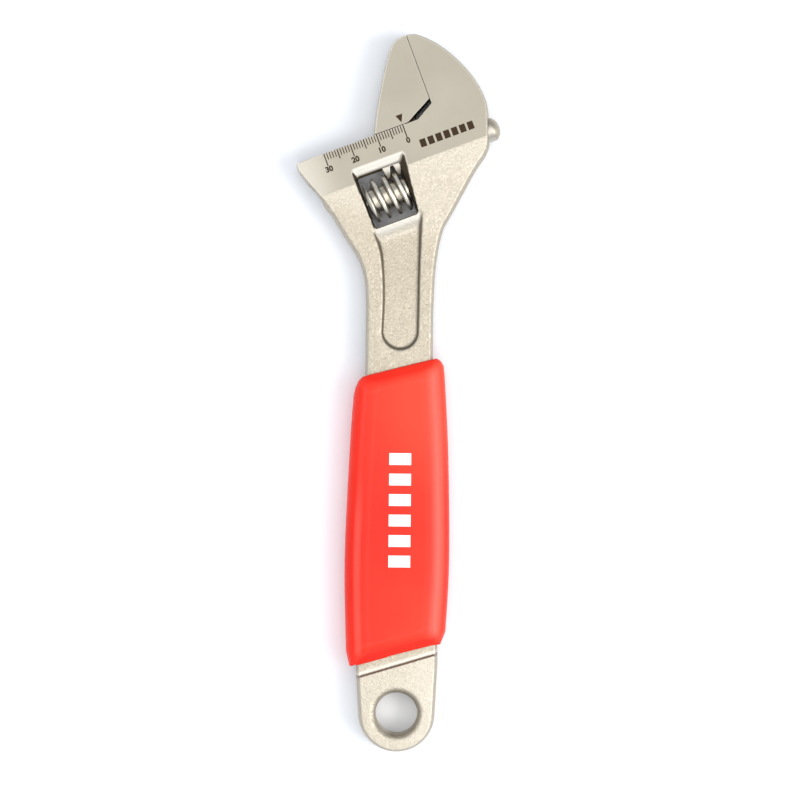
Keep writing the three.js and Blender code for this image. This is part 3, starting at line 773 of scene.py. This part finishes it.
def body_values(points, normals):
    """Where the body is ground, where painted shade darkens its recesses, throat and walls, and where
    painted highlights lighten its slopes, lips and edges.
    """
    x, y, z = points.T
    hx, hy = to_head(x, y)
    across = normals[:, 0] * COS + normals[:, 1] * SIN
    along = normals[:, 1] * COS - normals[:, 0] * SIN
    steep, level = steepness(normals), ramp(np.abs(normals[:, 2]), 0.9, 0.97)
    panel_edge, past_step = PANEL_EDGE(x, y), above_step(x, y)
    ground = near_faces(z) * ramp(hy, GROUND_LINE - 0.2, GROUND_LINE + 0.25)
    outside = steep * ramp(BODY_EDGE(x, y), -1.6, -0.9)
    rim = steep * ramp(HANG_HOLE + HOLE_RIM + 0.3 - np.hypot(x, y), 0, 0.6)
    window = within(hx, WINDOW_LEFT - 2, WINDOW_RIGHT + 3.25, 0.4, 0.4)
    window *= within(hy, WINDOW_BOTTOM - 0.5, WINDOW_TOP + 3.6, 0.4, 0.4)

    panel_wall = steep * ramp(1.3 - np.abs(panel_edge), 0, 0.4) * ramp(-hy, 30.5, 33)
    step_wall = steep * ramp(1.0 - np.abs(past_step), 0, 0.5)
    window_wall = window * np.maximum(ramp(np.abs(across), 0.25, 0.5), ramp(5.4 - np.abs(z), 0, 0.8))
    throat = steep * within(hx, 0.8, 12.6, 0.6, 0.3) * within(hy, -2.5, 4.6, 2.3, 0.4)
    # Painted shade in recesses and on walls, standing in for the shade that falls there.
    painted_shade = strongest(
        (0.54, panel_wall),
        (0.45, step_wall),
        (0.12, rim * (x > -2)),
        (1.0, window_wall),
        (0.06, outside * ramp(-hy, 6, 10)),
        (1.0, throat),
    )

    window_top = window * ramp(-along, 0.2, 0.45)
    below_ground = level * (hy < GROUND_LINE) * (panel_edge > 0) * ramp(hy + 0.7 * hx, -52, -36)
    # Painted highlights on the slopes, lips and edges that face the light.
    painted_highlight = strongest(
        (1.0, window_top),
        (0.15 + 0.1 * np.exp((hy - GROUND_LINE) / 4), below_ground),
        (0.18 + 0.1 * ramp(x, 0, 10), level * ramp(-past_step, 0, 0.8)),
        (0.9, np.exp(-np.abs(past_step - 1.1) / 0.4) * (1 - ramp(y, 22, 24))),
        (0.45, rim * ramp(-x, 1, 5)),
        (1.0, np.exp(-np.abs(WINDOW_BOTTOM - 1.6 - hy) / 1.9) * ramp(-panel_edge, 0, 0.8)),
        (0.15, outside * ramp(hy, -6, 0)),
        (0.9, near_faces(z, 0.3) * ramp(hy, -0.35, -0.1) * (hx < 1)),
        (0.3, ground * ramp(-hx, 24, 41)),
    )
    return {"ground": ground, "painted_shade": painted_shade, "painted_highlight": painted_highlight}


def jaw_values(points, normals):
    """The jaw is ground all over but for the rail's round end; painted shade darkens its neck below the
    throat, and a painted highlight lightens the walls of its back.
    """
    hx, hy, z = points.T
    steep = steepness(normals)
    rail = ramp(-hy, 0, 0.5) * (1 - ramp(hx, RAIL_RIGHT - 3.3, RAIL_RIGHT - 1.3))
    below_throat = within(hy, -2, 5.8, 1.5, 0.4) * ramp(hx, 0.8, 1.6)
    hidden = 1 - ramp(np.abs(z), NECK_HALF + 0.4, NECK_HALF + 0.8)
    back = steep * ramp(JAW_EDGE(hx, hy), -1.4, -0.7) * ramp(hy, 0, 1)
    return {
        "ground": np.maximum(near_faces(z), rail),
        "painted_shade": below_throat * np.maximum(steep, hidden),
        "painted_highlight": 0.18 * back,
    }


def grip_values(points, normals):
    """A painted highlight along the bevels at its sides, and painted shade on the slopes at its ends."""
    x, y, z = points.T
    depth = -GRIP_SIDES(x, y)
    above_bottom, below_top = inside_grip(x, y)
    left = 0.5 * within(depth, 2.7, 6.2, 1.0, 1.2) * ramp(-y, -92, -62)
    right = within(depth, 0.8, 7.6, 2.2, 3.6)
    band = np.where(x < 0, left, right) * ramp(np.abs(z), 4.0, 5.0)
    between_ends = ramp(above_bottom, 1.8, 6.2) * ramp(below_top, 1.8, 6.3)
    return {"side_highlight": band * between_ends, "slope": ramp(np.abs(normals[:, 1]), 0.2, 0.4)}


def worm_values(points, _normals):
    """Painted shade darkens the thread's roots."""
    return {"painted_shade": ramp(WORM_CORE + 1.6 - np.hypot(points[:, 1], points[:, 2]), 0, 1.5)}


# ---------------------------------------------------------------- pieces

def make_pieces():
    """The forgings, the worm, the pin and the sleeve, each in place of the plain node it stands for.

    A grid's ranges are its piece's extent with a little to spare.
    """
    nickel = forged_nickel()
    bright = plain_metal("worm_nickel", (0.66, 0.605, 0.51), (0.78, 0.73, 0.63), 0.33, 0.0006, 0.000004)
    turned = plain_metal("pin_steel", (0.42, 0.40, 0.37), (0.58, 0.56, 0.52), 0.38, 0.0004, 0.00003)
    vinyl = red_vinyl()

    body = shape("wrench_forging", body_field, grid_bent((-23.4, 51), (-6.9, 6.9), step=0.445),
                 HANDLE, nickel, body_values, crisp=HEAD_HALF)
    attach(body, "wrench_body")
    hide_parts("body")

    jaw = shape("movable_jaw_forging", jaw_field,
                grid_straight((-14, 33.5), (-17.5, 31), (-6.9, 6.9), step=0.38),
                HEAD, nickel, jaw_values, crisp=HEAD_HALF)
    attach(jaw, "jaw")
    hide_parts("movable_jaw")

    knurl = shape("worm_knurl", worm_field,
                  grid_straight((-22.2, -5.3), (-8.2, 8.2), (-8.2, 8.2), step=0.23),
                  WORM, bright, worm_values)
    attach(knurl, "worm")
    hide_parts("worm")

    pin = shape("pin_turned", pin_field,
                grid_straight((-35.2, -0.8), (-1.9, 1.9), (-1.9, 1.9), step=0.2), WORM, turned)
    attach(pin, "wrench_body")
    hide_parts("worm_pin")

    sleeve = shape("grip_moulding", grip_field,
                   grid_straight((-20, 20), (18, 127), (-8.4, 8.4), step=0.52, lean=0.262),
                   HANDLE, vinyl, grip_values)
    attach(sleeve, "wrench_body")
    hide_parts("grip_sleeve")


def make_spring():
    """The coil in the worm's pocket: a round wire wound along the worm's axis."""
    steps_per_turn, wire_roundness = 28, 4
    curve = bpy.data.curves.new("spring_wire", "CURVE")
    curve.dimensions = "3D"
    curve.bevel_depth = SPRING_WIRE * MM
    curve.bevel_resolution = wire_roundness
    curve.use_fill_caps = True
    path = curve.splines.new("POLY")
    steps = SPRING_TURNS * steps_per_turn
    path.points.add(steps)
    start = WORM_LEFT - GAP + SPRING_WIRE
    for i, point in enumerate(path.points):
        t = i / steps
        angle = t * SPRING_TURNS * 2 * math.pi
        along = start + t * (SPRING_LENGTH - 2 * SPRING_WIRE)
        on_coil = Vector((along, SPRING_RADIUS * math.cos(angle), SPRING_RADIUS * math.sin(angle)))
        point.co = (*(WORM @ on_coil), 1)
    mesh = to_mesh(curve)
    mesh.polygons.foreach_set("use_smooth", np.ones(len(mesh.polygons), bool))
    steel = plain_metal("spring_steel", (0.55, 0.53, 0.50), (0.68, 0.66, 0.62), 0.3, 0.0005, 0.00002)
    mesh.materials.append(steel)
    coil = show("spring_coil", mesh)
    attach(coil, "wrench_body")
    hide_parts("worm_spring")


# ---------------------------------------------------------------- printed marks

INK_LIFT, INK_SINK = 0.02, 0.05  # printed marks stand this far proud of a face, and reach this far in
MARK_SHIFT = -0.2  # the scale's zero mark is this far along the slide edge
TICK_TOP = -0.15  # the scale's marks start this far below the slide edge
TICKS, TENS, FIVES = 31, 10, 5
TICK_LENGTHS, TICK_HALVES = (4.6, 3.5, 2.5), (0.2, 0.17)  # tens, fives, ones; fives and up, ones
NUMERAL_Y, NUMERAL_HEIGHT = -6.8, 1.9
CAP_SHARE, STROKE_GAIN = 0.7, 0.13  # a digit's height over the type's size; thickening of its strokes
POINTER = [(-1.55, 3.7), (-0.25, 0.75), (1.05, 3.7)]
HEAD_BAR_LEFTS = 3.4 + 3.0 * np.arange(7)
HEAD_BAR_WIDTH, HEAD_BAR_LOW, HEAD_BAR_HIGH = 2.2, -10.1, -7.2
GRIP_BAR_LOWS = 52.5 + 7.3 * np.arange(6)
GRIP_BAR_HEIGHT, GRIP_BAR_LEFT, GRIP_BAR_RIGHT = 4.2, -3.4, 4.4


def rectangle(left, low, right, high):
    """A rectangle's corners."""
    return [(left, low), (right, low), (right, high), (left, high)]


def prism(vertices, faces, outline, base, top):
    """Adds a flat-topped prism over a plan outline."""
    first, count = len(vertices), len(outline)
    vertices += [(x, y, base) for x, y in outline] + [(x, y, top) for x, y in outline]
    faces.append([first + i for i in reversed(range(count))])
    faces.append([first + count + i for i in range(count)])
    for i in range(count):
        j = (i + 1) % count
        faces.append([first + i, first + j, first + count + j, first + count + i])


def marks(name, outlines, level, matrix, material, body):
    """Flat printed shapes on a face at the given level."""
    vertices, faces = [], []
    for outline in outlines:
        prism(vertices, faces, outline, level - INK_SINK, level + INK_LIFT)
    mesh = bpy.data.meshes.new(name)
    mesh.from_pydata([matrix @ Vector(v) for v in vertices], [], faces)
    mesh.materials.append(material)
    obj = show(name, mesh)
    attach(obj, body)


def numeral(text, x, material):
    """A number below its mark on the scale."""
    curve = bpy.data.curves.new("numeral", "FONT")
    curve.body = text
    curve.align_x = "CENTER"
    curve.size = NUMERAL_HEIGHT / CAP_SHARE
    curve.offset = STROKE_GAIN
    curve.extrude = (INK_LIFT + INK_SINK) / 2
    curve.resolution_u = 6
    mesh = to_mesh(curve)
    middle = HEAD_HALF + (INK_LIFT - INK_SINK) / 2
    mesh.transform(HEAD @ Matrix.Translation((x, NUMERAL_Y, middle)))
    mesh.materials.append(material)
    obj = show("scale_numeral_" + text, mesh)
    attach(obj, "wrench_body")


def tick(i):
    """The scale's mark for i millimetres."""
    length = TICK_LENGTHS[0 if i % TENS == 0 else 1 if i % FIVES == 0 else 2]
    half = TICK_HALVES[0 if i % FIVES == 0 else 1]
    return rectangle(MARK_SHIFT - i - half, TICK_TOP - length, MARK_SHIFT - i + half, TICK_TOP)


def make_marks():
    """The scale with its numerals, the jaw's pointer, and rows of plain bars on head and grip."""
    dark = ink("scale_ink", (0.036, 0.020, 0.008), specular=0.12)
    white = ink("grip_ink", (0.86, 0.86, 0.85), specular=0.4)
    ticks = [tick(i) for i in range(TICKS)]
    marks("scale_ticks", ticks, HEAD_HALF, HEAD, dark, "wrench_body")
    for i in range(0, TICKS, TENS):
        numeral(str(i), MARK_SHIFT - i, dark)
    marks("jaw_pointer", [POINTER], HEAD_HALF, HEAD, dark, "jaw")
    bars = [rectangle(x, HEAD_BAR_LOW, x + HEAD_BAR_WIDTH, HEAD_BAR_HIGH) for x in HEAD_BAR_LEFTS]
    marks("head_bars", bars, HEAD_HALF, HEAD, dark, "wrench_body")
    bars = [rectangle(GRIP_BAR_LEFT, y, GRIP_BAR_RIGHT, y + GRIP_BAR_HEIGHT) for y in GRIP_BAR_LOWS]
    marks("grip_bars", bars, GRIP_HALF, HANDLE, white, "wrench_body")


# ---------------------------------------------------------------- stage, light and camera

VIEW_WIDTH = 289.5 * MM  # width of what the camera sees at the floor
VIEW_CENTRE = (0.2, 112.15)  # its middle, in the handle plan
VIEW_HEIGHT, VIEW_TURN = 1.0, math.radians(0.56)
FLOOR_REACH = 3.0
LIGHT_AIM = Vector((0, 0.03, 0))


def make_stage():
    """A pale matt floor."""
    n = Nodes("floor_white", (0.9, 0.9, 0.9))
    cloud = n.levels(n.noise(0.4, 2), 0.3, 0.7)
    paint = n.finish(Base_Color=n.mix(cloud, (0.885, 0.90, 0.935), (0.915, 0.93, 0.965)), Roughness=0.9)
    mesh = bpy.data.meshes.new("floor")
    corners = rectangle(-FLOOR_REACH, -FLOOR_REACH, FLOOR_REACH, FLOOR_REACH)
    mesh.from_pydata([(*corner, 0) for corner in corners], [], [(0, 1, 2, 3)])
    mesh.materials.append(paint)
    floor = show("floor", mesh)


def softbox(name, at, size, power, colour=(1, 1, 1)):
    """A round area light, turned towards the wrench."""
    light = bpy.data.lights.new(name, "AREA")
    light.shape = "DISK"
    light.size = size
    light.energy = power
    light.color = colour
    obj = show(name, light)
    obj.location = at
    obj.rotation_euler = (LIGHT_AIM - Vector(at)).to_track_quat("-Z", "Y").to_euler()


def make_light():
    """A cool even studio, lit from the right and above, with weak fills at the eye's end and the left."""
    world = bpy.data.worlds.new("studio")
    bpy.context.scene.world = world
    world.use_nodes = True
    background = world.node_tree.nodes["Background"]
    background.inputs["Color"].default_value = (0.87, 0.93, 1.0, 1)
    background.inputs["Strength"].default_value = 0.56
    softbox("key", at=(1.0, -0.25, 1.1), size=1.0, power=14, colour=(1.0, 0.975, 0.94))
    softbox("overhead", at=(0, 0, 1.9), size=2.0, power=16, colour=(1.0, 0.985, 0.96))
    softbox("low", at=(0.1, -1.2, 0.9), size=0.7, power=1.5)
    softbox("left", at=(-1.0, 0.1, 1.05), size=0.6, power=3.5)


def make_camera():
    """Straight above the wrench through a long lens, turned half a degree."""
    camera = bpy.data.cameras.new("camera")
    camera.sensor_width = 36
    camera.lens = camera.sensor_width * VIEW_HEIGHT / VIEW_WIDTH
    camera.clip_end = 10
    obj = show("camera", camera)
    aim = HANDLE @ Vector((*VIEW_CENTRE, 0))
    obj.location = (aim.x, aim.y, VIEW_HEIGHT)
    obj.rotation_euler = (0, 0, VIEW_TURN)
    bpy.context.scene.camera = obj


bpy.context.scene.view_settings.view_transform = "Standard"
make_pieces()
make_spring()
make_marks()
make_stage()
make_light()
make_camera()
